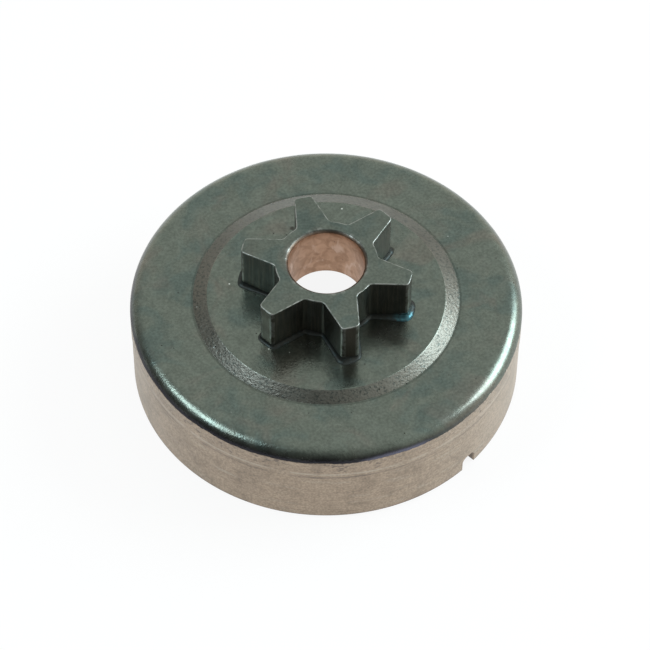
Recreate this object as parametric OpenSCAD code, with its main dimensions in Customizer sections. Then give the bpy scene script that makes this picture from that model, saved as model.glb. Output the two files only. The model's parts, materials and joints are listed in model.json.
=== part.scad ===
// Clutch drum of a chainsaw: a pressed steel cup with a spur sprocket brazed through its web.
// The rim lies on Z = 0, the mouth of the cup faces down, and the axis of rotation is Z.

/* [Cup] */
// Turned outside diameter of the wall
drum_d = 67.2; // [60:0.1:80]
// Height of the flat face above the rim
cup_h = 17.4; // [14:0.1:26]
// Thickness of the turned wall
wall_t = 2.4; // [1.6:0.1:3.2]
// Thickness of the pressed web
web_t = 2.2; // [1.6:0.1:3]
// Outer radius of the press shoulder between face and wall
shoulder_r = 2.8; // [2:0.1:4]
// Depth that turning took off the pressed wall
turned_depth = 0.15; // [0.05:0.05:0.4]
// Radius inside the cup between web and wall
corner_r = 1.6; // [0.5:0.1:2.5]
// Height of the finish turned band above the rim
band_h = 11.6; // [6:0.1:12.5]
// Step that the finish turning left at the top of the band
band_step = 0.1; // [0.05:0.05:0.3]
// Break on both edges of the rim
rim_break = 0.3; // [0.1:0.1:0.7]

/* [Raised centre] */
// Diameter of the raised centre at its top edge
centre_d = 40.9; // [34:0.1:48]
// Rise of the centre above the flat face
centre_rise = 0.8; // [0.4:0.1:1.5]
// Width of the sloping ring round the centre
slope_w = 2.4; // [1.5:0.1:3.5]
// Radius pressed on the top and foot of the slope
press_r = 1.2; // [0.6:0.1:2]

/* [Rim notch] */
// Width of the notch that drives the oil pump
notch_w = 2.8; // [2:0.1:5]
// Depth of the notch up from the rim
notch_h = 3.1; // [2:0.1:5]
// Radius in the notch's two corners
notch_r = 1.1; // [0.3:0.1:1.4]
// Direction of the notch, counted from +X
notch_angle = -43; // [-180:1:180]

/* [Sprocket] */
// Number of teeth
teeth = 6; // [5:1:7]
// Diameter over the tooth tips
tip_d = 29.3; // [26:0.1:32]
// Diameter at the bottom of the gullets
root_d = 17.5; // [16.6:0.1:19]
// Width of a tooth at its tip, before the corners are rounded
tooth_w = 3; // [2.2:0.1:3.8]
// Angle between a flank and the middle of its tooth
flank_angle = 12.5; // [8:0.5:16]
// Radius on the tip corners
tip_r = 0.5; // [0.2:0.1:0.8]
// Radius in the gullet corners
gullet_r = 1; // [0.4:0.1:1.4]
// Height of the tooth faces above the raised centre
sprocket_h = 8.9; // [6:0.1:12]
// Direction of the first tooth, counted from +X
tooth_angle = -13.5; // [-60:0.5:60]
// Bore for the needle cage
bore_d = 13; // [10:0.1:13.6]
// Chamfer on both ends of the bore
bore_break = 0.45; // [0.1:0.05:0.6]
// Shoulder between the gullets and the spigot that passes through the web
spigot_inset = 0.35; // [0.2:0.05:0.6]

/* [Braze] */
// Gap between sprocket and cup that the braze fills
braze_gap = 0.1; // [0.05:0.05:0.2]
// Reach of the braze fillet out from the teeth
fillet_w = 0.9; // [0.4:0.1:1.2]
// Height of the braze fillet up the teeth
fillet_h = 1.1; // [0.5:0.1:2]
// Ring of braze in the web's inner edge
inner_bead = 0.5; // [0.3:0.1:0.8]

/* [Hidden] */
$fn = 180;
// Facets of the small circles in the section and the notch
section_fn = 60;
// Overlap that lets one cut pass clean through
slack = 1;
// Steps in the tip and gullet corners, and in the press rounds
corner_steps = 5;
press_steps = 4;
// Smallest radius left in a gullet as the braze fills it
gullet_least = 0.15;

wall_r = drum_d / 2;
inner_r = wall_r - wall_t;
face_z = cup_h;
centre_z = cup_h + centre_rise;
ceiling_z = face_z - web_t;
spigot_end_z = centre_z - web_t;
tooth_base_z = centre_z + braze_gap;
tooth_top_z = centre_z + sprocket_h;

centre_r = centre_d / 2;
slope_foot_r = centre_r + slope_w;
slope_turn = atan2(centre_rise, slope_w);
// The underside of the slope moves inward, so that the sheet keeps its thickness
slope_inset = web_t * tan(slope_turn / 2);

// The press shoulder is centred so that its arc bulges past the turned wall by the depth of the cut
shoulder_axis_r = wall_r + turned_depth - shoulder_r;
shoulder_axis_z = face_z - shoulder_r;
shoulder_foot_z = shoulder_axis_z + sqrt(pow(shoulder_r, 2) - pow(shoulder_r - turned_depth, 2));

bore_r = bore_d / 2;
tip_circle = tip_d / 2;
root_circle = root_d / 2;
spigot_r = root_circle - spigot_inset;
web_hole_r = spigot_r + braze_gap;
// The film below the teeth runs a little way into the fillet, so that the two are one
film_reach = fillet_w / 3;

// Distance of a tooth's flank from the axis of the drum, measured square to the flank
flank_reach = tooth_w / 2 * cos(flank_angle) + tip_circle * sin(flank_angle);

// Points of an arc in equal steps, with or without its last point
function arc(centre, r, from, to, steps, last = true) = [
    for (i = [0:last ? steps : steps - 1])
        let (a = from + (to - from) * i / steps)
        centre + r * [cos(a), sin(a)]
];

function turned(point, angle) =
    [point.x * cos(angle) - point.y * sin(angle), point.x * sin(angle) + point.y * cos(angle)];

// Direction, seen from the axis, of the centre of a corner arc that touches a flank and a circle
function corner_direction(reach, r) = 90 - flank_angle - acos(reach / r);

// One side of a tooth that points along +X, from its tip to the middle of the gullet, grown by "grow"
function half_tooth(grow) =
    let (
        tip_centre_r = tip_circle - tip_r,
        tip_dir = corner_direction(flank_reach - tip_r, tip_centre_r),
        gullet_round = max(gullet_r - grow, gullet_least),
        gullet_centre_r = root_circle + grow + gullet_round,
        gullet_dir = corner_direction(flank_reach + grow + gullet_round, gullet_centre_r),
        tip_centre = tip_centre_r * [cos(tip_dir), sin(tip_dir)],
        gullet_centre = gullet_centre_r * [cos(gullet_dir), sin(gullet_dir)]
    )
    concat(
        arc([0, 0], tip_circle + grow, 0, tip_dir, 1, last = false),
        arc(tip_centre, tip_r + grow, tip_dir, 90 - flank_angle, corner_steps),
        arc(gullet_centre, gullet_round, 270 - flank_angle, 180 + gullet_dir, corner_steps, last = false),
        arc([0, 0], root_circle + grow, gullet_dir, 180 / teeth, 1)
    );

// The sprocket's outline, grown outward by "grow", with the same number of points for every growth
function star(grow) =
    let (half = half_tooth(grow), n = len(half))
    [
        for (k = [0:teeth - 1])
            for (i = [1 - n:n - 2])
                turned([half[abs(i)].x, sign(i) * half[abs(i)].y], tooth_angle + 360 / teeth * k)
    ];

// Section of the turned wall, before the press shoulder rounds it off
function wall_outside() = [
    [0, 0],
    [wall_r - band_step - rim_break, 0],
    [wall_r - band_step, rim_break],
    [wall_r - band_step, band_h],
    [wall_r, band_h + band_step],
    [wall_r, face_z + slack],
    [0, face_z + slack]
];

// Section of a raised centre that slopes up from "foot_r" to "top_r" between two heights
function raised(foot_r, top_r, low, high) =
    let (reach = press_r * tan(slope_turn / 2))
    concat(
        [[0, low - slack], [foot_r + slope_w, low - slack], [foot_r + slope_w, low]],
        arc([foot_r + reach, low + press_r], press_r, -90, -90 - slope_turn, press_steps),
        arc([top_r - reach, high - press_r], press_r, 90 - slope_turn, 90, press_steps),
        [[0, high]]
    );

// Section of the pressed and turned cup, from the axis outward
module cup_section() {
    difference() {
        union() {
            intersection() {
                polygon(wall_outside());
                union() {
                    square([shoulder_axis_r, face_z]);
                    square([wall_r + slack, shoulder_axis_z]);
                    translate([shoulder_axis_r, shoulder_axis_z]) circle(shoulder_r, $fn = section_fn);
                }
            }
            polygon(raised(slope_foot_r, centre_r, face_z, centre_z));
        }
        cavity_section();
    }
}

// Section of the space inside the cup, with the hollow under the raised centre
module cavity_section() {
    difference() {
        union() {
            translate([0, -slack]) square([inner_r, ceiling_z + slack]);
            polygon(raised(slope_foot_r - slope_inset, centre_r - slope_inset, ceiling_z, spigot_end_z));
            polygon([
                [inner_r - slack, -slack],
                [inner_r + rim_break + slack, -slack],
                [inner_r, rim_break],
                [inner_r - slack, rim_break]
            ]);
        }
        // Metal that the inner corner's radius leaves
        difference() {
            translate([inner_r - corner_r, ceiling_z - corner_r]) square(corner_r + slack);
            translate([inner_r - corner_r, ceiling_z - corner_r]) circle(corner_r, $fn = section_fn);
        }
    }
}

// Slot with two round corners, cut through the wall from the rim up
module notch() {
    rotate([0, 0, notch_angle])
        translate([inner_r - slack, 0, 0])
            rotate([90, 0, 90])
                linear_extrude(wall_t + 2 * slack)
                    union() {
                        translate([-notch_w / 2, -slack]) square([notch_w, notch_h - notch_r + slack]);
                        translate([notch_r - notch_w / 2, 0]) square([notch_w - 2 * notch_r, notch_h]);
                        for (side = [-1, 1])
                            translate([side * (notch_w / 2 - notch_r), notch_h - notch_r])
                                circle(notch_r, $fn = section_fn);
                    }
}

module drum_cup() {
    color([0.24, 0.27, 0.25])
        difference() {
            rotate_extrude() cup_section();
            translate([0, 0, spigot_end_z - slack]) cylinder(r = web_hole_r, h = web_t + 2 * slack);
            // Bevel that holds the inner ring of braze
            translate([0, 0, spigot_end_z - slack])
                cylinder(r1 = web_hole_r + inner_bead + slack, r2 = web_hole_r, h = inner_bead + slack);
            notch();
        }
}

// Spur sprocket and its spigot, bored through for the bearing
module sprocket() {
    color([0.27, 0.28, 0.27])
        difference() {
            union() {
                translate([0, 0, tooth_base_z]) linear_extrude(tooth_top_z - tooth_base_z) polygon(star(0));
                translate([0, 0, spigot_end_z]) cylinder(r = spigot_r, h = tooth_base_z - spigot_end_z + slack);
            }
            translate([0, 0, spigot_end_z - slack])
                cylinder(r = bore_r, h = tooth_top_z - spigot_end_z + 2 * slack);
            translate([0, 0, tooth_top_z - bore_break])
                cylinder(r1 = bore_r, r2 = bore_r + bore_break + slack, h = bore_break + slack);
            translate([0, 0, spigot_end_z - slack])
                cylinder(r1 = bore_r + bore_break + slack, r2 = bore_r, h = bore_break + slack);
        }
}

// Concave fillet round the foot of the teeth: a closed ring lofted through grown outlines
module braze_fillet() {
    rise_steps = 3;
    levels = concat(
        [for (i = [0:rise_steps])
            let (a = 90 * i / rise_steps)
            [fillet_w * (1 - sin(a)), centre_z + fillet_h * (1 - cos(a))]],
        [[0, centre_z]]
    );
    m = len(levels);
    n = len(star(0));
    points = [for (level = levels) for (p = star(level[0])) [p.x, p.y, level[1]]];
    faces = [
        for (k = [0:m - 1])
            for (i = [0:n - 1])
                let (j = (i + 1) % n, here = k * n, above = (k + 1) % m * n)
                    for (face = [[here + i, above + i, above + j], [here + i, above + j, here + j]])
                        face
    ];
    polyhedron(points, faces);
}

// Braze round and below the teeth and round the spigot, as one piece
module braze() {
    color([0.30, 0.34, 0.34]) {
        braze_fillet();
        difference() {
            union() {
                // Film below the teeth
                translate([0, 0, centre_z]) linear_extrude(braze_gap) polygon(star(film_reach));
                // Sleeve through the web, and the ring in the web's bevel
                translate([0, 0, spigot_end_z]) cylinder(r = web_hole_r, h = web_t + braze_gap / 2);
                translate([0, 0, spigot_end_z])
                    cylinder(r1 = web_hole_r + inner_bead, r2 = web_hole_r, h = inner_bead);
            }
            translate([0, 0, spigot_end_z - slack]) cylinder(r = spigot_r, h = web_t + 2 * slack);
        }
    }
}

drum_cup();
sprocket();
braze();
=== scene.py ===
import json
import math

import bmesh
import bpy
from mathutils import Matrix, Vector


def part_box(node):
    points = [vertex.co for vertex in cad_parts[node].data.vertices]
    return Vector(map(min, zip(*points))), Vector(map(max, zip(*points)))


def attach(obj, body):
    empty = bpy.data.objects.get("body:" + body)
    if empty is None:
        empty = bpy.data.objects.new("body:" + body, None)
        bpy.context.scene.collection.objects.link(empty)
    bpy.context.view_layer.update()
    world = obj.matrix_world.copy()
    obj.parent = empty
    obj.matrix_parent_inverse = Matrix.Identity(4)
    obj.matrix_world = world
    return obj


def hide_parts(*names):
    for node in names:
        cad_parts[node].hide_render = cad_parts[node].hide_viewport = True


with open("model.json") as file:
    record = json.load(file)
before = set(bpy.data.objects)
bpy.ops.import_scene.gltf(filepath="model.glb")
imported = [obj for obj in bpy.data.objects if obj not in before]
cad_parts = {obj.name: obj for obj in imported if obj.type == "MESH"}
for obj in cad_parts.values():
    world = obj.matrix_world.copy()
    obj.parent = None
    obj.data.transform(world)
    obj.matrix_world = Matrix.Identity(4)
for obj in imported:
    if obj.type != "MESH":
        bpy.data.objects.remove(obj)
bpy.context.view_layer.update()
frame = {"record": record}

MM = 0.001

# Sizes in millimetres: what the frame gives, then what it doesn't
CUP_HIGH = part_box("drum_cup")[1]
SPROCKET_LOW, SPROCKET_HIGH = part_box("sprocket")
MOUNTS = {mount["name"]: mount for mount in frame["record"]["mounts"]}
WALL_R = CUP_HIGH.x / MM
CENTRE_Z = CUP_HIGH.z / MM
TOP_Z = SPROCKET_HIGH.z / MM
SPIGOT_END_Z = SPROCKET_LOW.z / MM
BORE_R = MOUNTS["bearing_bore"]["dims"]["r_mm"]
INNER_R = MOUNTS["shoe_face"]["dims"]["r_mm"]
CENTRE_RISE = 0.8
FACE_Z = CENTRE_Z - CENTRE_RISE
WEB_T = CENTRE_Z - SPIGOT_END_Z
SHOULDER_R = 2.8
TURNED_DEPTH = 0.15
CORNER_R = 1.6
BAND_H = 11.6
BAND_STEP = 0.1
RIM_BREAK = 0.3
CENTRE_R = 20.45
SLOPE_W = 2.4
PRESS_R = 1.2
NOTCH_W = 2.8
NOTCH_H = 3.1
NOTCH_R = 1.1
NOTCH_ANGLE = -43
NOTCH_FLARE = 0.15
TEETH = 6
TIP_R = 14.65
ROOT_R = 8.75
TOOTH_W = 3
FLANK_ANGLE = 12.5
TIP_CORNER = 0.7
GULLET_CORNER = 1
GULLET_LEAST = 0.15
TOOTH_ANGLE = -13.5
BORE_BREAK = 0.45
SPIGOT_R = 8.4
BRAZE_GAP = 0.1
FILLET_W = 0.9
FILLET_H = 1.1
INNER_BEAD = 0.5
EDGE_ROUND = 0.11
SLOPE_FALL = 0.46
VIOLET_GLINT_AT = math.radians(-69)
SEGMENTS = 600

SLOPE_TURN = math.degrees(math.atan2(CENTRE_RISE, SLOPE_W))
SHOULDER_AXIS_R = WALL_R + TURNED_DEPTH - SHOULDER_R
SHOULDER_AXIS_Z = FACE_Z - SHOULDER_R
SHOULDER_FOOT = math.degrees(math.acos((SHOULDER_R - TURNED_DEPTH) / SHOULDER_R))
SHOULDER_FOOT_Z = SHOULDER_AXIS_Z + SHOULDER_R * math.sin(math.radians(SHOULDER_FOOT))
CEILING_Z = FACE_Z - WEB_T
WEB_HOLE_R = SPIGOT_R + BRAZE_GAP
TOOTH_BASE_Z = CENTRE_Z + BRAZE_GAP

# The camera that was fitted to the photograph's ellipses
CAMERA_PLACE = (0, -0.3409, 0.4531)
CAMERA_AIM = (-0.00017, 0.0046, 0.0035)
CAMERA_LENS = 179.2
CAMERA_ROLL = 0.47


# Outlines

def arc(centre, radius, start, end, steps):
    """Points of an arc in equal steps, both ends included."""
    points = []
    for i in range(steps + 1):
        a = math.radians(start + (end - start) * i / steps)
        points.append((centre[0] + radius * math.cos(a), centre[1] + radius * math.sin(a)))
    return points


def line(start, end, steps):
    """Inner points of a straight stretch, both ends left out."""
    return [
        (start[0] + (end[0] - start[0]) * i / steps, start[1] + (end[1] - start[1]) * i / steps)
        for i in range(1, steps)
    ]


def eased(profile, reach, steps=3):
    """The closed profile with every corner sharper than 20 degrees rounded off a little."""
    points = []
    for i, corner in enumerate(profile):
        before = Vector(profile[i - 1])
        here = Vector(corner)
        after = Vector(profile[(i + 1) % len(profile)])
        turn = (here - before).angle(after - here)
        if turn < math.radians(20):
            points.append(tuple(here))
            continue
        cut = min(reach, (here - before).length / 3, (after - here).length / 3)
        first = here + (before - here).normalized() * cut
        last = here + (after - here).normalized() * cut
        for k in range(steps + 1):
            t = k / steps
            point = first * (1 - t) ** 2 + here * 2 * t * (1 - t) + last * t ** 2
            points.append(tuple(point))
    return points


def supported(profile, longest=3.5, near=0.08):
    """The closed profile with points close to the ends of long stretches, so that flats shade flat."""
    points = []
    for i, here in enumerate(profile):
        after = profile[(i + 1) % len(profile)]
        start = Vector(here)
        run = Vector(after) - start
        points.append(here)
        if run.length > 5 * near:
            stops = [near / run.length]
            parts = max(1, math.ceil(run.length / longest))
            stops += [k / parts for k in range(1, parts)]
            stops.append(1 - near / run.length)
            points += [tuple(start + run * t) for t in stops]
    return points


def corner_direction(reach, radius):
    return 90 - FLANK_ANGLE - math.degrees(math.acos(reach / radius))


def half_tooth(grow):
    """One side of a tooth that points along +X, from its tip to the gullet's middle, grown outward."""
    flank = math.radians(FLANK_ANGLE)
    reach = TOOTH_W / 2 * math.cos(flank) + TIP_R * math.sin(flank)
    tip_centre_r = TIP_R - TIP_CORNER
    tip_dir = corner_direction(reach - TIP_CORNER, tip_centre_r)
    gullet_round = max(GULLET_CORNER - grow, GULLET_LEAST)
    gullet_centre_r = ROOT_R + grow + gullet_round
    gullet_dir = corner_direction(reach + grow + gullet_round, gullet_centre_r)
    tip_centre = arc((0, 0), tip_centre_r, tip_dir, tip_dir, 1)[0]
    gullet_centre = arc((0, 0), gullet_centre_r, gullet_dir, gullet_dir, 1)[0]
    tip_land = arc((0, 0), TIP_R + grow, 0, tip_dir, 4)[:-1]
    tip_corner = arc(tip_centre, TIP_CORNER + grow, tip_dir, 90 - FLANK_ANGLE, 6)
    gullet_start = 270 - FLANK_ANGLE
    gullet_corner = arc(gullet_centre, gullet_round, gullet_start, 180 + gullet_dir, 7)
    flank_run = line(tip_corner[-1], gullet_corner[0], 8)
    root = arc((0, 0), ROOT_R + grow, gullet_dir, 180 / TEETH, 4)[1:]
    return tip_land + tip_corner + flank_run + gullet_corner + root


def star(grow):
    """The sprocket's outline, grown outward, with the same number of points for every growth."""
    half = half_tooth(grow)
    points = []
    for tooth in range(TEETH):
        turn = math.radians(TOOTH_ANGLE + 360 / TEETH * tooth)
        for i in range(1 - len(half), len(half) - 1):
            x, y = half[abs(i)]
            y = math.copysign(y, i) if i else y
            points.append(
                (x * math.cos(turn) - y * math.sin(turn), x * math.sin(turn) + y * math.cos(turn))
            )
    return points


STAR = star(0)


def circle(radius):
    """A circle with as many points as the outline, which start and end beside the same tooth."""
    count = len(STAR)
    half = len(half_tooth(0))
    start = TOOTH_ANGLE - 360 / count * (half - 1)
    return arc((0, 0), radius, start, start + 360, count)[:-1]


# Meshes

def new_object(name, vertices, faces, material):
    mesh = bpy.data.meshes.new(name)
    mesh.from_pydata([tuple(c * MM for c in v) for v in vertices], [], faces)
    shell = bmesh.new()
    shell.from_mesh(mesh)
    bmesh.ops.recalc_face_normals(shell, faces=shell.faces)
    shell.to_mesh(mesh)
    shell.free()
    mesh.materials.append(material)
    obj = bpy.data.objects.new(name, mesh)
    bpy.context.scene.collection.objects.link(obj)
    return obj


def smooth(obj, angle=32):
    obj.data.polygons.foreach_set("use_smooth", [True] * len(obj.data.polygons))
    obj.data.set_sharp_from_angle(angle=math.radians(angle))


def loft(rings):
    """Faces of a closed ring of loops, where the last loop joins the first."""
    count = len(rings[0])
    vertices = [point for ring in rings for point in ring]
    faces = []
    for k in range(len(rings)):
        here = k * count
        above = (k + 1) % len(rings) * count
        for i in range(count):
            j = (i + 1) % count
            faces.append((here + i, here + j, above + j, above + i))
    return vertices, faces


def cup_profile():
    """The cup's section from the top of its hole outward, down the wall and back below the web."""
    reach = PRESS_R * math.tan(math.radians(SLOPE_TURN / 2))
    inset = WEB_T * math.tan(math.radians(SLOPE_TURN / 2))
    foot_r = CENTRE_R + SLOPE_W
    lip_r = 0.3
    lip_turn = 34
    points = [(WEB_HOLE_R, CENTRE_Z)]
    # The press left a small sharp lip at the top of the slope
    points += arc((CENTRE_R - reach, CENTRE_Z - lip_r), lip_r, 90, 90 - lip_turn, 6)
    points += arc((foot_r + reach, FACE_Z + PRESS_R), PRESS_R, -90 - SLOPE_TURN, -90, 6)
    points += arc((SHOULDER_AXIS_R, SHOULDER_AXIS_Z), SHOULDER_R, 90, SHOULDER_FOOT, 24)
    points += [
        (WALL_R, BAND_H + BAND_STEP),
        (WALL_R - BAND_STEP, BAND_H),
        (WALL_R - BAND_STEP, RIM_BREAK),
        (WALL_R - BAND_STEP - RIM_BREAK, 0),
        (INNER_R + RIM_BREAK, 0),
        (INNER_R, RIM_BREAK),
    ]
    points += arc((INNER_R - CORNER_R, CEILING_Z - CORNER_R), CORNER_R, 0, 90, 8)
    under_foot = foot_r - inset
    under_top = CENTRE_R - inset
    points += arc((under_foot + reach, CEILING_Z + PRESS_R), PRESS_R, -90, -90 - SLOPE_TURN, 4)
    points += arc((under_top - reach, SPIGOT_END_Z - PRESS_R), PRESS_R, 90 - SLOPE_TURN, 90, 4)
    points += [(WEB_HOLE_R + INNER_BEAD, SPIGOT_END_Z), (WEB_HOLE_R, SPIGOT_END_Z + INNER_BEAD)]
    return supported(eased(points, 0.09))


def notch_cutter():
    """A slot's solid with round corners that flares a little where it leaves the wall on each side."""
    def section(x, grow):
        half = NOTCH_W / 2 + grow
        top = NOTCH_H + grow
        right = arc((half - NOTCH_R, top - NOTCH_R), NOTCH_R, 0, 90, 10)
        left = arc((NOTCH_R - half, top - NOTCH_R), NOTCH_R, 90, 180, 10)
        skirt = half + 0.25
        outline = [(skirt, -1), (skirt, 0.03), (half, RIM_BREAK)]
        outline += right + left
        outline += [(-half, RIM_BREAK), (-skirt, 0.03), (-skirt, -1)]
        return [(x, y, z) for y, z in outline]

    outer = WALL_R - BAND_STEP
    sections = [
        section(INNER_R - 2, NOTCH_FLARE),
        section(INNER_R - 0.02, NOTCH_FLARE),
        section(INNER_R + NOTCH_FLARE, 0),
        section(outer - NOTCH_FLARE, 0),
        section(outer + 0.06, NOTCH_FLARE),
        section(outer + 2, NOTCH_FLARE),
    ]
    count = len(sections[0])
    vertices = [point for part in sections for point in part]
    faces = [tuple(range(count))]
    for k in range(len(sections) - 1):
        for i in range(count):
            j = (i + 1) % count
            faces.append((k * count + i, (k + 1) * count + i, (k + 1) * count + j, k * count + j))
    faces.append(tuple(reversed(range((len(sections) - 1) * count, len(sections) * count))))
    turn = math.radians(NOTCH_ANGLE)
    turned = [
        (x * math.cos(turn) - y * math.sin(turn), x * math.sin(turn) + y * math.cos(turn), z)
        for x, y, z in vertices
    ]
    return new_object("notch_cutter", turned, faces, bpy.data.materials.new("cutter"))


def make_cup(material):
    profile = cup_profile()
    rings = []
    for r, z in profile:
        rings.append([(x, y, z) for x, y in arc((0, 0), r, 0, 360, SEGMENTS)[:-1]])
    cup = new_object("pressed_cup", *loft(rings), material)
    cutter = notch_cutter()
    cut = cup.modifiers.new("notch", "BOOLEAN")
    cut.operation = "DIFFERENCE"
    cut.solver = "EXACT"
    cut.object = cutter
    bpy.context.view_layer.update()
    depsgraph = bpy.context.evaluated_depsgraph_get()
    mesh = bpy.data.meshes.new_from_object(cup.evaluated_get(depsgraph))
    cup.modifiers.clear()
    cup.data = mesh
    bpy.data.objects.remove(cutter)
    mesh.materials.clear()
    mesh.materials.append(material)
    mesh.polygons.foreach_set("material_index", [0] * len(mesh.polygons))
    smooth(cup)
    return cup


def blended(first, second, share):
    return [
        (a[0] + (b[0] - a[0]) * share, a[1] + (b[1] - a[1]) * share) for a, b in zip(first, second)
    ]


def at_height(ring, z):
    return [(x, y, z) for x, y in ring]


def make_sprocket(material):
    """The toothed ring, with its worn edges and its bore marked for the material."""
    mouth = circle(BORE_R + BORE_BREAK)
    rings = []
    marks = []

    def add(ring, z, edge=0.0, bore=0.0):
        rings.append(at_height(ring, z))
        marks.append((edge, bore))

    bore_low = SPIGOT_END_Z + BORE_BREAK
    bore_high = TOP_Z - BORE_BREAK - 0.08
    bore_steps = 6
    add(mouth, SPIGOT_END_Z, 0.2, 0)
    for k in range(bore_steps + 1):
        add(circle(BORE_R), bore_low + (bore_high - bore_low) * k / bore_steps, 0, 1)
    add(circle(BORE_R + 0.03), TOP_Z - BORE_BREAK + 0.02, 0, 0.4)
    add(circle(BORE_R + BORE_BREAK - 0.04), TOP_Z - 0.05, 0.15, 0)
    add(circle(BORE_R + BORE_BREAK + 0.05), TOP_Z, 0.15, 0)
    face_inner = star(-EDGE_ROUND - 0.1)
    for share in (0.08, 0.3, 0.6, 0.9):
        add(blended(mouth, face_inner, share), TOP_Z)
    add(face_inner, TOP_Z, 0)
    for k in range(5):
        a = math.radians(90 * k / 4)
        ring = star(-EDGE_ROUND * (1 - math.sin(a)))
        add(ring, TOP_Z - EDGE_ROUND * (1 - math.cos(a)), 1 if k < 4 else 0.6)
    flank_top = TOP_Z - EDGE_ROUND - 0.1
    flank_steps = 7
    for k in range(flank_steps + 1):
        add(STAR, flank_top + (TOOTH_BASE_Z - flank_top) * k / flank_steps)
    add(circle(SPIGOT_R), TOOTH_BASE_Z)
    add(circle(SPIGOT_R), SPIGOT_END_Z + 0.1)
    add(circle(SPIGOT_R - 0.1), SPIGOT_END_Z, 0.2)
    vertices, faces = loft(rings)
    sprocket = new_object("toothed_sprocket", vertices, faces, material)
    count = len(STAR)
    half = half_tooth(0)
    period = 2 * len(half) - 2
    edge = []
    bore_mark = []
    # Points 4 to 9 from a tip's middle are its worn corner
    for ring_edge, ring_bore in marks:
        for i in range(count):
            steps_from_tip = abs(i % period - (len(half) - 1))
            corner = 0.55 if 4 <= steps_from_tip <= 9 and ring_bore == 0 else 0
            edge.append(max(ring_edge, corner))
            bore_mark.append(ring_bore)
    for name, values in (("edge", edge), ("bore", bore_mark)):
        layer = sprocket.data.attributes.new(name, "FLOAT", "POINT")
        layer.data.foreach_set("value", values)
    # Tooth corners on the top face stay oxide, so their mark is kept to the flanks
    for index, vertex in enumerate(sprocket.data.vertices):
        on_face = vertex.co.z > (TOP_Z - 0.02) * MM
        far_in = math.hypot(vertex.co.x, vertex.co.y) < (TIP_R - 1.2) * MM
        if marks[index // count][0] == 0 and (on_face or far_in):
            sprocket.data.attributes["edge"].data[index].value = 0
    smooth(sprocket, 40)
    return sprocket


def braze_swell(x, y):
    """How much more braze there is at a place, from 0 to 1: it ran to the feet of three teeth."""
    swell = 0
    pools = ((TOOTH_ANGLE - 6, 1.0, 3.0), (TOOTH_ANGLE - 66, 0.5, 2.0), (TOOTH_ANGLE + 180, 0.5, 3.0))
    for degrees, gain, spread in pools:
        a = math.radians(degrees)
        away = math.hypot(x - TIP_R * math.cos(a), y - TIP_R * math.sin(a))
        swell += gain * math.exp(-((away / spread) ** 2))
    return swell


def make_braze(material):
    """One closed ring: the fillet round the teeth, the film below them, the sleeve and the inner bead."""
    rings = []
    steps = 7
    for k in range(steps + 1):
        a = math.radians(90 * k / steps)
        share = 1 - math.sin(a)
        ring = []
        outline = star(FILLET_W * share)
        for i, (x, y) in enumerate(outline):
            foot = STAR[i]
            wave = 1 + 0.14 * math.sin(9 * math.atan2(y, x) + 1) + 0.08 * math.sin(23 * math.atan2(y, x))
            gain = 0.62 * wave + 0.5 * braze_swell(*foot)
            width = min(gain, 1.25)
            ring.append((
                foot[0] + (x - foot[0]) * width,
                foot[1] + (y - foot[1]) * width,
                CENTRE_Z + 0.01 + FILLET_H * min(gain, 1.3) * (1 - math.cos(a)),
            ))
        rings.append(ring)
    rings.append(at_height(star(-0.03), CENTRE_Z + FILLET_H))
    rings.append(at_height(star(-0.03), TOOTH_BASE_Z))
    rings.append(at_height(circle(SPIGOT_R), TOOTH_BASE_Z))
    rings.append(at_height(circle(SPIGOT_R), SPIGOT_END_Z))
    for k in range(5):
        a = math.radians(90 * k / 4)
        rings.append(at_height(
            circle(WEB_HOLE_R + INNER_BEAD * (1 - math.sin(a)) * 0.96),
            SPIGOT_END_Z + INNER_BEAD * (1 - math.cos(a)) + 0.03 * k,
        ))
    rings.append(at_height(circle(WEB_HOLE_R), CENTRE_Z))
    vertices, faces = loft(rings)
    braze = new_object("braze_fillet", vertices, faces, material)
    smooth(braze, 60)
    return braze


# Materials

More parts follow.
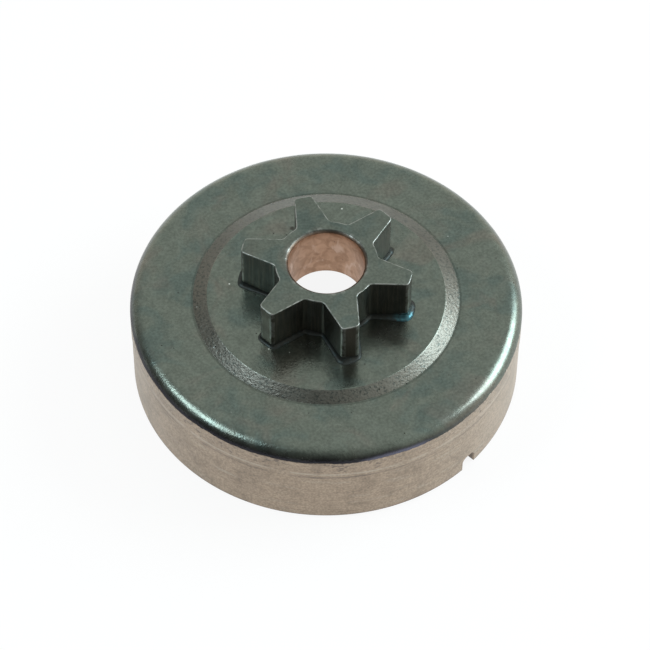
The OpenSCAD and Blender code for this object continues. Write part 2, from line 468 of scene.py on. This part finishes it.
class Nodes:
    """A material's node tree, with short calls for the nodes that these materials use."""

    def __init__(self, name):
        self.material = bpy.data.materials.new(name)
        self.material.use_nodes = True
        self.tree = self.material.node_tree
        self.shader = self.tree.nodes["Principled BSDF"]
        coordinates = self.tree.nodes.new("ShaderNodeTexCoord")
        self.place = coordinates.outputs["Object"]
        split = self.tree.nodes.new("ShaderNodeSeparateXYZ")
        self.tree.links.new(self.place, split.inputs[0])
        self.z = split.outputs["Z"]
        flat = self.stretched(1, 1, 0)
        self.radius = self.vector("LENGTH", flat)

    def put(self, socket, value):
        if isinstance(value, bpy.types.NodeSocket):
            self.tree.links.new(value, socket)
        else:
            socket.default_value = value

    def math(self, operation, first, second=0.0):
        node = self.tree.nodes.new("ShaderNodeMath")
        node.operation = operation
        self.put(node.inputs[0], first)
        self.put(node.inputs[1], second)
        return node.outputs[0]

    def vector(self, operation, first, second=(0, 0, 0)):
        node = self.tree.nodes.new("ShaderNodeVectorMath")
        node.operation = operation
        self.put(node.inputs[0], first)
        self.put(node.inputs[1], second)
        return node.outputs["Value" if operation in ("LENGTH", "DISTANCE", "DOT_PRODUCT") else "Vector"]

    def stretched(self, x, y, z):
        return self.vector("MULTIPLY", self.place, (x, y, z))

    def span(self, value, low, high, start=0.0, end=1.0):
        """A soft step from start to end as the value goes from low to high."""
        node = self.tree.nodes.new("ShaderNodeMapRange")
        node.interpolation_type = "SMOOTHSTEP"
        self.put(node.inputs["Value"], value)
        for name, number in (("From Min", low), ("From Max", high), ("To Min", start), ("To Max", end)):
            self.put(node.inputs[name], number)
        return node.outputs["Result"]

    def noise(self, grain, vector=None, detail=3.0, distortion=0.0):
        """Noise whose patches are about as wide as the grain, in millimetres."""
        node = self.tree.nodes.new("ShaderNodeTexNoise")
        self.put(node.inputs["Vector"], vector or self.place)
        node.inputs["Scale"].default_value = 1 / (grain * MM)
        node.inputs["Detail"].default_value = detail
        node.inputs["Distortion"].default_value = distortion
        return node.outputs["Fac"]

    def specks(self, spacing, size, share):
        """Small dots: one in a share of the cells that are as wide as the spacing, in millimetres."""
        node = self.tree.nodes.new("ShaderNodeTexVoronoi")
        self.put(node.inputs["Vector"], self.place)
        node.inputs["Scale"].default_value = 1 / (spacing * MM)
        split = self.tree.nodes.new("ShaderNodeSeparateColor")
        self.tree.links.new(node.outputs["Color"], split.inputs[0])
        dot = self.span(node.outputs["Distance"], size / spacing, 0.5 * size / spacing)
        chosen = self.math("GREATER_THAN", split.outputs[0], 1 - share)
        return self.math("MULTIPLY", dot, chosen)

    def spot(self, x, y, size):
        """A round soft mark at a place on the upper side, in millimetres."""
        away = self.vector("DISTANCE", self.stretched(1, 1, 0), (x * MM, y * MM, 0))
        return self.span(away, size * MM, 0.35 * size * MM)

    def attribute(self, name):
        node = self.tree.nodes.new("ShaderNodeAttribute")
        node.attribute_name = name
        return node.outputs["Fac"]

    def mix(self, share, first, second):
        node = self.tree.nodes.new("ShaderNodeMix")
        node.data_type = "RGBA"
        self.put(node.inputs["Factor"], share)
        colour_sockets = [s for s in node.inputs if s.type == "RGBA"]
        for socket, colour in zip(colour_sockets, (first, second)):
            self.put(socket, self.rgba(colour))
        return next(s for s in node.outputs if s.type == "RGBA")

    def rgba(self, colour):
        return colour if isinstance(colour, bpy.types.NodeSocket) else (*colour, 1)

    def scaled(self, colour, value):
        """The colour made lighter or darker by a value."""
        node = self.tree.nodes.new("ShaderNodeVectorMath")
        node.operation = "SCALE"
        self.put(node.inputs[0], colour)
        self.put(node.inputs["Scale"], value)
        return node.outputs[0]

    def bump(self, height, depth, normal=None):
        """Relief of a depth in millimetres."""
        node = self.tree.nodes.new("ShaderNodeBump")
        node.inputs["Strength"].default_value = 1
        node.inputs["Distance"].default_value = depth * MM
        self.put(node.inputs["Height"], height)
        if normal:
            self.put(node.inputs["Normal"], normal)
        return node.outputs["Normal"]

    def finish(self, colour, roughness, metallic, normal):
        self.put(self.shader.inputs["Base Color"], colour)
        self.put(self.shader.inputs["Roughness"], roughness)
        self.put(self.shader.inputs["Metallic"], metallic)
        self.put(self.shader.inputs["Normal"], normal)
        return self.material


OXIDE = (0.158, 0.180, 0.154)
OXIDE_TEAL = (0.124, 0.156, 0.140)
OXIDE_BROWN = (0.180, 0.172, 0.148)
BARE_STEEL = (0.380, 0.294, 0.218)
WORN_EDGE = (0.34, 0.35, 0.33)


def oxide_colour(n):
    """Blackened steel: grey green with soft teal and brown patches and a fine grain."""
    teal = n.span(n.noise(6.5, detail=4, distortion=0.6), 0.46, 0.68)
    brown = n.span(n.noise(9.0, n.vector("ADD", n.place, (0.05, 0.02, 0)), 4, 0.8), 0.5, 0.72)
    colour = n.mix(teal, OXIDE, OXIDE_TEAL)
    colour = n.mix(n.math("MULTIPLY", brown, 0.7), colour, OXIDE_BROWN)
    grain = n.span(n.noise(0.46, detail=2), 0.25, 0.75, 0.85, 1.15)
    soft = n.span(n.noise(2.2, detail=3), 0.3, 0.7, 0.93, 1.07)
    return n.scaled(colour, n.math("MULTIPLY", grain, soft))


def cup_material():
    n = Nodes("cup_steel_finish")
    n.shader.inputs["Sheen Weight"].default_value = 0.35
    n.shader.inputs["Sheen Roughness"].default_value = 0.35
    n.shader.inputs["Sheen Tint"].default_value = (1, 0.96, 0.9, 1)
    oxide = oxide_colour(n)
    wave = n.span(n.noise(5, detail=2), 0.3, 0.7, -0.10 * MM, 0.10 * MM)
    ragged = n.span(n.noise(0.7, detail=2), 0.3, 0.7, -0.05 * MM, 0.05 * MM)
    height = n.math("ADD", n.z, n.math("ADD", wave, ragged))
    outside = n.span(n.radius, (WALL_R - 1.5) * MM, (WALL_R - 1.3) * MM)

    # The slope round the raised centre is rougher and paler than the faces, with dark pits
    on_slope = n.math(
        "MULTIPLY",
        n.span(n.radius, (CENTRE_R - 0.15) * MM, (CENTRE_R + 0.1) * MM),
        n.span(n.radius, (CENTRE_R + SLOPE_W + 0.1) * MM, (CENTRE_R + SLOPE_W - 0.2) * MM),
    )
    above = n.span(n.z, (FACE_Z - 0.6) * MM, (FACE_Z - 0.3) * MM)
    on_slope = n.math("MULTIPLY", on_slope, above)
    slope_pits = n.span(n.noise(0.42, detail=3), 0.5, 0.66)
    slope = n.mix(slope_pits, (0.192, 0.184, 0.160), (0.092, 0.098, 0.088))
    oxide = n.mix(n.math("MULTIPLY", on_slope, 0.85), oxide, slope)
    # A thin ring at the foot of the slope is darkened: painted shade in the crease
    foot = n.math(
        "MULTIPLY",
        n.span(n.radius, (CENTRE_R + SLOPE_W - 0.25) * MM, (CENTRE_R + SLOPE_W + 0.05) * MM),
        n.span(n.radius, (CENTRE_R + SLOPE_W + 0.5) * MM, (CENTRE_R + SLOPE_W + 0.15) * MM),
    )
    oxide = n.scaled(oxide, n.span(n.math("MULTIPLY", foot, above), 0, 1, 1, 0.72))

    # Low on the shoulder, most of all at the front left, a blue black band is painted in: a painted dark
    # reflection
    low_shoulder_painted_shade = n.span(height, (SHOULDER_FOOT_Z + 1.35) * MM, (SHOULDER_FOOT_Z + 0.35) * MM)
    side = n.vector("DOT_PRODUCT", n.place, (-0.62, -0.78, 0))
    low_shoulder_painted_shade = n.math("MULTIPLY", low_shoulder_painted_shade, n.span(side, -0.008, 0.02, 0.0, 1.0))
    low_shoulder_painted_shade = n.math("MULTIPLY", low_shoulder_painted_shade, outside)
    oxide = n.mix(low_shoulder_painted_shade, oxide, (0.030, 0.030, 0.036))
    # A small blue violet patch low on the shoulder, to the front right, is a painted glint
    violet_glint_way = n.vector("DOT_PRODUCT", n.place, (math.cos(VIOLET_GLINT_AT), math.sin(VIOLET_GLINT_AT), 0))
    painted_violet_glint = n.math(
        "MULTIPLY",
        n.span(violet_glint_way, 0.975 * WALL_R * MM, 0.996 * WALL_R * MM),
        n.span(height, (SHOULDER_FOOT_Z + 0.8) * MM, (SHOULDER_FOOT_Z + 0.35) * MM),
    )
    oxide = n.mix(n.math("MULTIPLY", painted_violet_glint, outside), oxide, (0.125, 0.130, 0.175))
    oxide = n.mix(n.specks(3.1, 0.16, 0.25), oxide, (0.42, 0.46, 0.44))
    oxide = n.mix(n.specks(2.3, 0.17, 0.3), oxide, (0.035, 0.035, 0.03))
    for x, y, size in ((10.2, 9.0, 0.9), (11.2, 9.9, 0.7), (-6.0, 14.4, 0.6)):
        oxide = n.mix(n.math("MULTIPLY", n.spot(x, y, size), 0.8), oxide, (0.04, 0.035, 0.03))
    oxide = n.mix(n.math("MULTIPLY", n.spot(-3.6, 20.9, 1.8), 0.6), oxide, (0.10, 0.12, 0.115))
    for x, y, size in ((2.6, 18.9, 0.22), (-16.6, 2.0, 0.2), (-9.6, -11.9, 0.22), (-6.1, -12.6, 0.18)):
        oxide = n.mix(n.spot(x, y, size), oxide, (0.7, 0.74, 0.7))

    # The turned wall is bare: fine rings, stains and a pitted zone above the finish band
    rings = n.noise(0.16, n.stretched(0.02, 0.02, 1), 3)
    streaks = n.noise(0.9, n.stretched(0.12, 0.12, 1), 4, 0.2)
    stains = n.noise(4.2, detail=5, distortion=0.7)
    bare = n.mix(n.span(stains, 0.4, 0.75), BARE_STEEL, (0.290, 0.224, 0.166))
    bare = n.mix(n.span(streaks, 0.52, 0.78), bare, (0.415, 0.345, 0.275))
    bare = n.scaled(bare, n.span(rings, 0.2, 0.8, 0.86, 1.12))
    bare = n.scaled(bare, n.span(n.noise(0.38, detail=2), 0.25, 0.75, 0.78, 1.22))
    upper = n.span(n.z, (BAND_H + 0.4) * MM, (BAND_H + 1.6) * MM)
    upper = n.math("MULTIPLY", upper, outside)
    pits = n.span(n.noise(0.55, n.stretched(0.6, 0.6, 1), 4), 0.54, 0.66)
    pitted = n.math("MULTIPLY", pits, n.math("MULTIPLY", upper, n.span(n.noise(7), 0.42, 0.6)))
    bare = n.mix(n.math("MULTIPLY", pitted, 0.75), bare, (0.13, 0.10, 0.085))
    # A light line just above the turned band's step is a painted highlight
    painted_highlight_line = n.math(
        "MULTIPLY",
        n.span(n.z, (BAND_H + 0.35) * MM, (BAND_H + 0.7) * MM),
        n.span(n.z, (BAND_H + 1.15) * MM, (BAND_H + 0.8) * MM),
    )
    painted_highlight_line = n.math("MULTIPLY", painted_highlight_line, n.span(n.noise(3.4), 0.36, 0.56))
    bare = n.mix(n.math("MULTIPLY", painted_highlight_line, 0.6), bare, (0.50, 0.43, 0.35))
    # A dark line at the step below it is painted shade
    painted_shade_line = n.math(
        "MULTIPLY",
        n.span(n.z, (BAND_H - 0.65) * MM, (BAND_H - 0.25) * MM),
        n.span(n.z, (BAND_H + 0.12) * MM, (BAND_H - 0.15) * MM),
    )
    painted_shade_line = n.math("MULTIPLY", painted_shade_line, n.span(n.noise(4.4), 0.36, 0.62, 0.05, 0.75))
    bare = n.mix(painted_shade_line, bare, (0.17, 0.135, 0.11))
    # The wall is darkened just above the bottom rim: painted shade
    painted_rim_shade = n.span(n.z, 0.62 * MM, 0.34 * MM)
    bare = n.mix(n.math("MULTIPLY", painted_rim_shade, 0.7), bare, (0.12, 0.095, 0.08))

    # Inside the wall's thickness only the notch and the rim show, and both are painted dark brown:
    # painted shade in the notch
    in_wall_painted_shade = n.math(
        "MULTIPLY",
        n.span(n.radius, (INNER_R + 0.1) * MM, (INNER_R + 0.35) * MM),
        n.span(n.radius, (WALL_R - 0.25) * MM, (WALL_R - 0.5) * MM),
    )
    in_wall_painted_shade = n.math("MULTIPLY", in_wall_painted_shade, n.span(n.z, (NOTCH_H + 0.8) * MM, (NOTCH_H + 0.4) * MM))
    bare = n.mix(n.math("MULTIPLY", in_wall_painted_shade, 0.75), bare, (0.105, 0.078, 0.06))

    wall_top = n.span(outside, 0, 1, (CEILING_Z - CORNER_R) * MM, (SHOULDER_FOOT_Z + 0.02) * MM)
    below = n.math("SUBTRACT", wall_top, height)
    is_bare = n.span(below, -0.03 * MM, 0.05 * MM)
    is_bare = n.math("MULTIPLY", is_bare, n.span(n.radius, (INNER_R - 0.35) * MM, (INNER_R - 0.2) * MM))
    colour = n.mix(is_bare, oxide, bare)

    # Roughness and relief
    oxide_rough = n.span(n.noise(3.1, detail=3), 0.3, 0.7, 0.24, 0.32)
    on_face = n.span(n.radius, (CENTRE_R + 4) * MM, (CENTRE_R + SLOPE_W) * MM)
    oxide_rough = n.math("SUBTRACT", oxide_rough, n.math("MULTIPLY", on_face, 0.03))
    on_shoulder = n.span(n.radius, SHOULDER_AXIS_R * MM, (SHOULDER_AXIS_R + 0.8) * MM)
    oxide_rough = n.math("SUBTRACT", oxide_rough, n.math("MULTIPLY", on_shoulder, 0.01))
    oxide_rough = n.math("ADD", oxide_rough, n.math("MULTIPLY", on_slope, 0.15))
    bare_rough = n.span(streaks, 0.3, 0.7, 0.40, 0.52)
    mix_rough = n.tree.nodes.new("ShaderNodeMix")
    n.put(mix_rough.inputs[0], is_bare)
    n.put(mix_rough.inputs[2], oxide_rough)
    n.put(mix_rough.inputs[3], bare_rough)
    roughness = mix_rough.outputs[0]
    metallic = n.span(is_bare, 0, 1, 1.0, 0.6)

    grain_here = n.span(side, 0.0, 0.024, 0.15, 1.1)
    grain_relief = n.math("MULTIPLY", n.noise(0.34, detail=2), grain_here)
    normal = n.bump(grain_relief, 0.03)
    normal = n.bump(n.noise(2.6, detail=2), 0.018, normal)
    # The slope reflects as a steeper one would, as it does in the photograph
    in_slope = n.math("MINIMUM", n.radius, (CENTRE_R + SLOPE_W - 0.1) * MM)
    in_slope = n.math("MAXIMUM", in_slope, (CENTRE_R - 0.05) * MM)
    normal = n.bump(n.math("MULTIPLY", in_slope, -SLOPE_FALL), 1 / MM, normal)
    normal = n.bump(n.math("MULTIPLY", n.noise(0.45, detail=3), on_slope), 0.05, normal)
    normal = n.bump(n.math("MULTIPLY", rings, is_bare), 0.006, normal)
    unpitted = n.math("SUBTRACT", 1, pits)
    pit_relief = n.math("MULTIPLY", unpitted, n.math("MULTIPLY", upper, is_bare))
    normal = n.bump(pit_relief, 0.03, normal)
    return n.finish(colour, roughness, metallic, normal)


def sprocket_material():
    n = Nodes("sprocket_steel_finish")
    oxide = oxide_colour(n)
    oxide = n.scaled(oxide, 0.88)
    # The flanks are darker than the top face, with striations: partly their blanked finish, partly
    # painted shade
    on_flank = n.span(n.z, (TOP_Z - 0.1) * MM, (TOP_Z - 0.4) * MM)
    striations = n.noise(0.34, n.stretched(1, 1, 0.05), 3)
    flank = n.mix(n.span(striations, 0.4, 0.7), (0.082, 0.084, 0.075), (0.125, 0.116, 0.098))
    tip = n.span(n.radius, (TIP_R - 0.7) * MM, (TIP_R - 0.2) * MM)
    flank = n.mix(n.math("MULTIPLY", tip, 0.7), flank, (0.115, 0.098, 0.080))
    colour = n.mix(on_flank, oxide, flank)
    colour = n.mix(n.specks(1.9, 0.13, 0.22), colour, (0.04, 0.035, 0.03))
    # The bore's chamfer is darkened: painted shade where it turns into the bore
    mouth = n.span(n.radius, (BORE_R + BORE_BREAK + 0.12) * MM, (BORE_R + BORE_BREAK) * MM)
    colour = n.mix(n.math("MULTIPLY", mouth, 0.75), colour, (0.055, 0.048, 0.042))

    edge = n.attribute("edge")
    worn = n.span(n.noise(1.1, detail=4), 0.34, 0.60)
    worn = n.math("MULTIPLY", edge, n.span(worn, 0, 1, 0.15, 1.0))
    colour = n.mix(worn, colour, WORN_EDGE)

    # The bore is copper brown, mottled, with pale slanting streaks
    bore = n.attribute("bore")
    mottle = n.noise(1.7, detail=4, distortion=0.8)
    streak_place = n.vector("MULTIPLY", n.vector("ADD", n.place, (0.01, 0, 0)), (1.0, 1.0, 0.45))
    streak = n.noise(1.6, streak_place, 3, 0.5)
    copper = n.mix(n.span(mottle, 0.35, 0.65), (0.50, 0.312, 0.208), (0.36, 0.213, 0.132))
    copper = n.mix(n.span(streak, 0.55, 0.72), copper, (0.60, 0.42, 0.32))
    copper = n.mix(n.specks(1.5, 0.18, 0.3), copper, (0.2, 0.12, 0.08))
    colour = n.mix(bore, colour, copper)

    roughness = n.span(n.noise(2.4, detail=3), 0.3, 0.7, 0.34, 0.44)
    metallic = n.span(bore, 0, 1, 1.0, 0.78)
    on_steel = n.math("SUBTRACT", 1, bore)
    normal = n.bump(n.math("MULTIPLY", n.noise(0.36, detail=2), on_steel), 0.014)
    normal = n.bump(n.math("MULTIPLY", n.noise(1.8, detail=2), on_steel), 0.008, normal)
    normal = n.bump(n.math("MULTIPLY", striations, on_flank), 0.02, normal)
    return n.finish(colour, roughness, metallic, normal)


def braze_material():
    n = Nodes("braze_metal_finish")
    outside = n.span(n.z, (CENTRE_Z - 0.3) * MM, CENTRE_Z * MM)
    patches = n.noise(0.8, detail=4, distortion=0.5)
    # The braze outside is near black with teal patches: partly its own oxidised colour, partly painted
    # shade at the feet of the teeth
    stained_and_shaded = n.mix(n.span(patches, 0.48, 0.70), (0.036, 0.039, 0.036), (0.047, 0.060, 0.060))
    # A lighter teal patch at the right tooth's foot is partly heat tint, partly a painted glint
    right_foot = n.vector("DISTANCE", n.place, (13.6 * MM, -5.4 * MM, CENTRE_Z * MM))
    heat_tint_and_glint = n.math("MULTIPLY", n.span(right_foot, 2.7 * MM, 0.8 * MM), n.span(patches, 0.35, 0.55))
    stained_and_shaded = n.mix(heat_tint_and_glint, stained_and_shaded, (0.055, 0.145, 0.17))
    copper = n.mix(n.span(patches, 0.4, 0.65), (0.52, 0.31, 0.19), (0.34, 0.22, 0.15))
    colour = n.mix(outside, copper, stained_and_shaded)
    roughness = n.span(heat_tint_and_glint, 0, 1, 0.48, 0.28)
    normal = n.bump(n.noise(0.7, detail=3), 0.05)
    return n.finish(colour, roughness, n.span(patches, 0.3, 0.7, 0.8, 0.95), normal)


# Studio

def make_camera():
    data = bpy.data.cameras.new("photo_camera")
    data.lens = CAMERA_LENS
    data.sensor_width = 36
    data.clip_start = 0.01
    data.clip_end = 20
    camera = bpy.data.objects.new("photo_camera", data)
    bpy.context.scene.collection.objects.link(camera)
    camera.location = CAMERA_PLACE
    look = (Vector(CAMERA_AIM) - Vector(CAMERA_PLACE)).to_track_quat("-Z", "Y").to_matrix()
    roll = Vector((0, 0, 1))
    turn = look.to_4x4() @ Matrix.Rotation(math.radians(CAMERA_ROLL), 4, roll)
    camera.rotation_euler = turn.to_euler()
    bpy.context.scene.camera = camera


def make_floor():
    mesh = bpy.data.meshes.new("floor")
    reach = 3.0
    mesh.from_pydata(
        [(-reach, -reach, 0), (reach, -reach, 0), (reach, reach, 0), (-reach, reach, 0)],
        [],
        [(0, 1, 2, 3)],
    )
    floor = bpy.data.objects.new("floor", mesh)
    bpy.context.scene.collection.objects.link(floor)
    material = bpy.data.materials.new("floor_white")
    material.use_nodes = True
    tree = material.node_tree
    tree.nodes.clear()
    rays = tree.nodes.new("ShaderNodeLightPath")
    seen = tree.nodes.new("ShaderNodeMath")
    seen.operation = "MAXIMUM"
    tree.links.new(rays.outputs["Is Camera Ray"], seen.inputs[0])
    tree.links.new(rays.outputs["Is Glossy Ray"], seen.inputs[1])
    seen_too = tree.nodes.new("ShaderNodeMath")
    seen_too.operation = "MAXIMUM"
    tree.links.new(seen.outputs[0], seen_too.inputs[0])
    tree.links.new(rays.outputs["Is Transmission Ray"], seen_too.inputs[1])
    share = tree.nodes.new("ShaderNodeMath")
    share.operation = "MULTIPLY"
    share.inputs[1].default_value = 0.9
    tree.links.new(seen_too.outputs[0], share.inputs[0])
    paper = tree.nodes.new("ShaderNodeBsdfDiffuse")
    paper.inputs["Color"].default_value = (0.9, 0.9, 0.9, 1)
    white = tree.nodes.new("ShaderNodeEmission")
    white.inputs["Color"].default_value = (1, 1, 1, 1)
    white.inputs["Strength"].default_value = 1
    mixed = tree.nodes.new("ShaderNodeMixShader")
    tree.links.new(share.outputs[0], mixed.inputs[0])
    tree.links.new(paper.outputs[0], mixed.inputs[1])
    tree.links.new(white.outputs[0], mixed.inputs[2])
    output = tree.nodes.new("ShaderNodeOutputMaterial")
    tree.links.new(mixed.outputs[0], output.inputs["Surface"])
    mesh.materials.append(material)


def make_softbox(name, azimuth, elevation, width, height, radiance):
    """A soft light that faces the drum, from a direction in degrees, with azimuth counted from +X."""
    distance = 0.6
    a = math.radians(azimuth)
    e = math.radians(elevation)
    place = Vector((math.cos(a) * math.cos(e), math.sin(a) * math.cos(e), math.sin(e))) * distance
    data = bpy.data.lights.new(name, "AREA")
    data.shape = "RECTANGLE"
    data.size = width
    data.size_y = height
    data.energy = radiance * width * height * math.pi
    data.color = (0.78, 0.93, 1.0)
    light = bpy.data.objects.new(name, data)
    bpy.context.scene.collection.objects.link(light)
    light.location = place
    light.rotation_euler = (-place).to_track_quat("-Z", "Y").to_euler()


def make_world():
    """A room that is bright behind the drum and dim on the camera's left, as its reflections show."""
    world = bpy.data.worlds.new("room")
    bpy.context.scene.world = world
    world.use_nodes = True
    tree = world.node_tree
    tree.nodes.clear()

    def span(value, low, high, start, end):
        node = tree.nodes.new("ShaderNodeMapRange")
        node.interpolation_type = "SMOOTHSTEP"
        tree.links.new(value, node.inputs["Value"])
        for name, number in (("From Min", low), ("From Max", high), ("To Min", start), ("To Max", end)):
            node.inputs[name].default_value = number
        return node.outputs["Result"]

    coordinates = tree.nodes.new("ShaderNodeTexCoord")
    direction = coordinates.outputs["Generated"]
    split = tree.nodes.new("ShaderNodeSeparateXYZ")
    tree.links.new(direction, split.inputs[0])
    horizon = span(split.outputs[2], 0.62, -0.05, 0, 1)
    tint = tree.nodes.new("ShaderNodeMix")
    tint.data_type = "RGBA"
    tree.links.new(horizon, tint.inputs["Factor"])
    first, second = [s for s in tint.inputs if s.type == "RGBA"]
    first.default_value = (0.80, 0.83, 0.80, 1)
    second.default_value = (1.12, 1.06, 0.96, 1)
    toward_dark = tree.nodes.new("ShaderNodeVectorMath")
    toward_dark.operation = "DOT_PRODUCT"
    tree.links.new(direction, toward_dark.inputs[0])
    toward_dark.inputs[1].default_value = Vector((-0.70, -0.70, -0.12)).normalized()
    level = span(toward_dark.outputs["Value"], -0.4, 0.62, 1.0, 0.16)
    background = tree.nodes.new("ShaderNodeBackground")
    tree.links.new(next(s for s in tint.outputs if s.type == "RGBA"), background.inputs["Color"])
    tree.links.new(level, background.inputs["Strength"])
    output = tree.nodes.new("ShaderNodeOutputWorld")
    tree.links.new(background.outputs[0], output.inputs["Surface"])


make_camera()
make_floor()
make_world()
make_softbox("right_softbox", 16, 32, 0.40, 0.30, 8.3)
make_softbox("left_softbox", -167, 50, 0.28, 0.20, 7.8)
bpy.context.scene.view_settings.view_transform = "Standard"

cup = make_cup(cup_material())
sprocket = make_sprocket(sprocket_material())
braze = make_braze(braze_material())
for piece, node, slot in (
    (cup, "drum_cup", "cup_steel"),
    (sprocket, "sprocket", "sprocket_steel"),
    (braze, "braze", "braze_metal"),
):
    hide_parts(node)
    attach(piece, "root")
